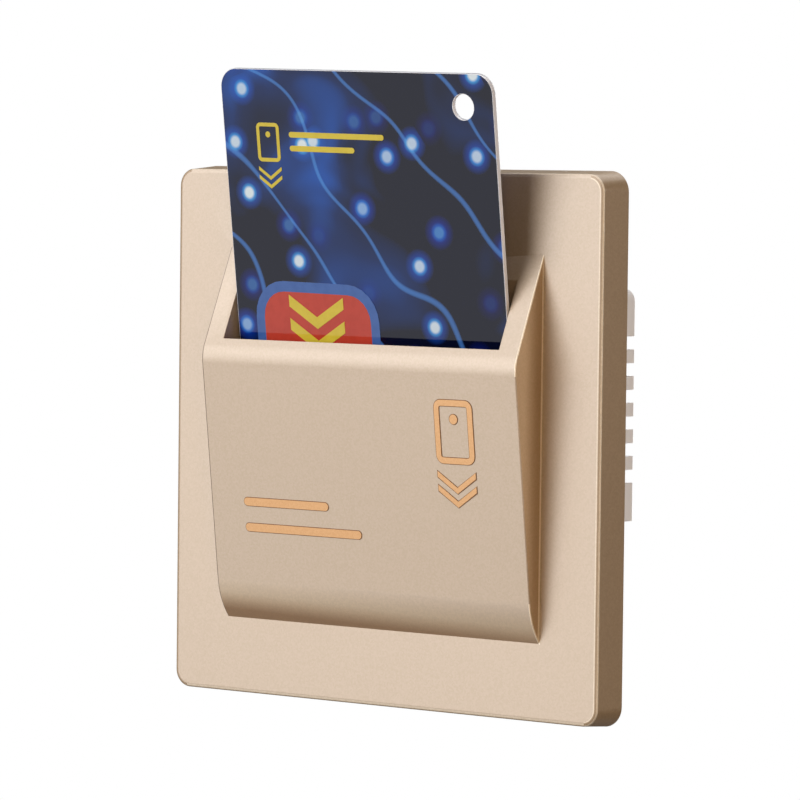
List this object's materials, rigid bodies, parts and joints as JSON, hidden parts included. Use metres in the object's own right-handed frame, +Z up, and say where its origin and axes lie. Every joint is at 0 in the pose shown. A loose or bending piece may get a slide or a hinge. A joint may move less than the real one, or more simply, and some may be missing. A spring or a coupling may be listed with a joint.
{
  "type": "hotel key card switch",
  "caption": "Square wall switch with a clip-on cover plate, an inclined card pocket, a key card that slides out of it, and a vented rear case with relay, sensing lever and terminals.",
  "frame": {"origin": "centre of the cover plate on the wall plane, midway between the two wall screw holes", "axes": "+X to the right seen from the front, +Y into the wall, +Z up"},
  "size_m": [0.086, 0.0439, 0.1017],
  "materials": {
    "cover_paint": "champagne metallic paint on moulded plastic, satin",
    "card_print": "printed and laminated PVC",
    "case_plastic": "moulded white plastic",
    "screw_steel": "zinc plated steel",
    "board_laminate": "green solder mask on glass laminate",
    "relay_case": "moulded black plastic",
    "film_case": "moulded yellow plastic",
    "can_sleeve": "shrink sleeve",
    "varistor_coat": "dipped blue coating",
    "fuse_body": "ceramic",
    "dark_resin": "moulded epoxy",
    "resistor_coat": "lacquer",
    "switch_case": "moulded black plastic",
    "plunger_plastic": "moulded red plastic",
    "lever_plastic": "moulded acetal",
    "terminal_plastic": "moulded black plastic",
    "terminal_brass": "plain brass"
  },
  "bodies": {
    "base": {"front_cover": "cover_paint", "rear_housing": "case_plastic", "housing_lid": "case_plastic", "lid_screws": "screw_steel", "circuit_board": "board_laminate", "board_screws": "screw_steel", "relay": "relay_case", "film_capacitor": "film_case", "smoothing_capacitor": "can_sleeve", "varistor": "varistor_coat", "fuse": "fuse_body", "rectifier_diodes": "dark_resin", "resistors": "resistor_coat", "controller_chip": "dark_resin", "switch_body": "switch_case", "lever_pin": "screw_steel", "terminal_block": "terminal_plastic", "terminal_cages": "terminal_brass", "terminal_screws": "screw_steel"},
    "card": {"key_card": "card_print"},
    "lever": {"card_lever": "lever_plastic"},
    "plunger": {"switch_plunger": "plunger_plastic"}
  },
  "joints": [
    {"name": "card_slide", "type": "slide", "parent": "base", "child": "card", "axis": [0.0209, -0.1564, 0.9875], "range_m": [0, 0.06]},
    {"name": "lever_pivot", "type": "hinge", "parent": "base", "child": "lever", "pos_m": [0, 0.0034, -0.026], "axis": [-1, 0, 0], "range_deg": [0, 14]},
    {"name": "plunger_slide", "type": "slide", "parent": "base", "child": "plunger", "axis": [0, 0, -1], "range_m": [0, 0.00085]}
  ],
  "couplings": [
    {"joint": "lever_pivot", "follows": "card_slide", "rad_per_m": 4.07},
    {"joint": "plunger_slide", "follows": "card_slide", "ratio": 0.01416}
  ]
}
